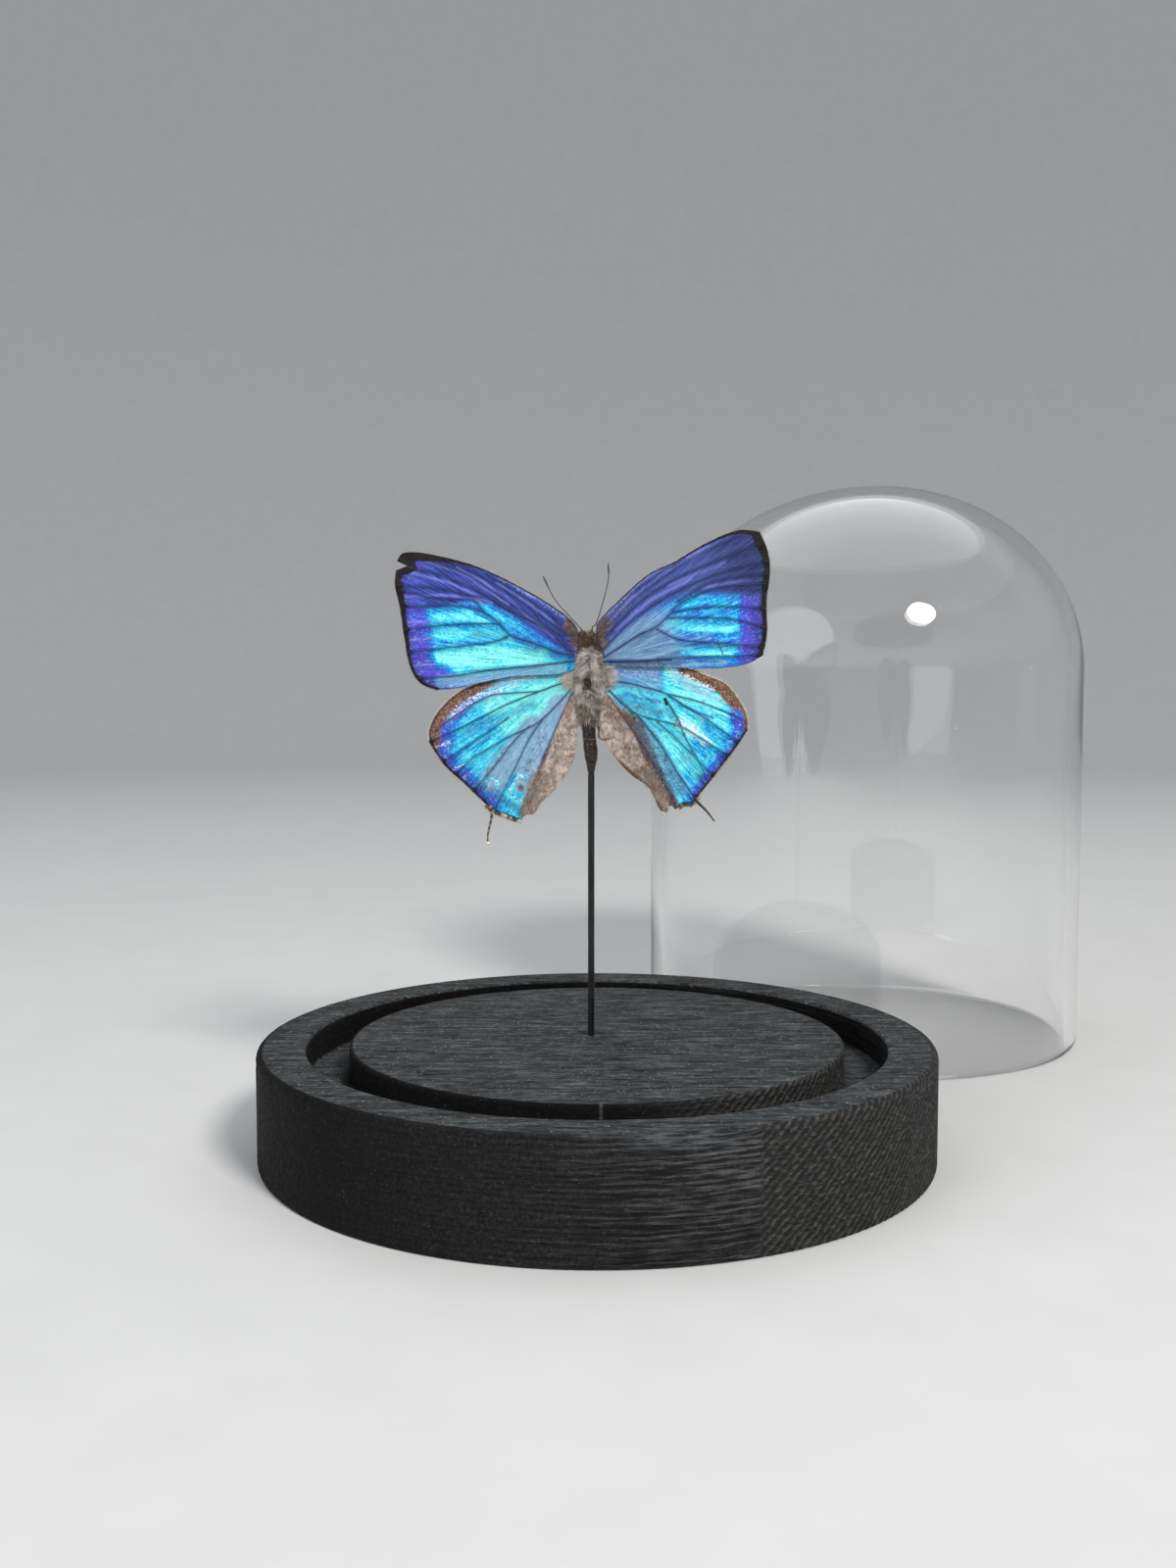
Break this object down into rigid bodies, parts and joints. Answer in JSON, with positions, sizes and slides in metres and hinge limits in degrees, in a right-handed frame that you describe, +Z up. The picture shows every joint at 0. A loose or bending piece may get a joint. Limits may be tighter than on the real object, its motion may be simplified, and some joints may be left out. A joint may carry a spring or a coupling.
{
  "type": "mounted butterfly with glass dome",
  "caption": "Blue butterfly on a thin rod above a round black wooden base, with its clear glass dome lifted off and stood behind it.",
  "frame": {"origin": "centre of the wooden base's underside", "axes": "+Z up, -Y towards the viewer that the butterfly's blue side faces, +X to that viewer's right"},
  "size_m": [0.1735, 0.2015, 0.1285],
  "materials": {
    "base_wood": "black stain, open grain, matt",
    "dome_glass": "clear blown glass",
    "rod_metal": "black, satin",
    "abdomen_shell": "dark brown, glossy",
    "body_hair": "grey brown hair",
    "head_shell": "red brown, short hair",
    "wing_scales": "iridescent blue scales, black edges",
    "limb_shell": "brown, satin"
  },
  "bodies": {
    "root": {"base": "base_wood", "glass_dome": "dome_glass", "rod": "rod_metal", "abdomen": "abdomen_shell", "thorax": "body_hair", "head": "head_shell", "forewing_left": "wing_scales", "forewing_right": "wing_scales", "hindwing_left": "wing_scales", "hindwing_right": "wing_scales", "antenna_left": "limb_shell", "antenna_right": "limb_shell", "leg_left_front": "limb_shell", "leg_left_middle": "limb_shell", "leg_left_hind": "limb_shell", "leg_right_front": "limb_shell", "leg_right_middle": "limb_shell", "leg_right_hind": "limb_shell"}
  },
  "joints": []
}
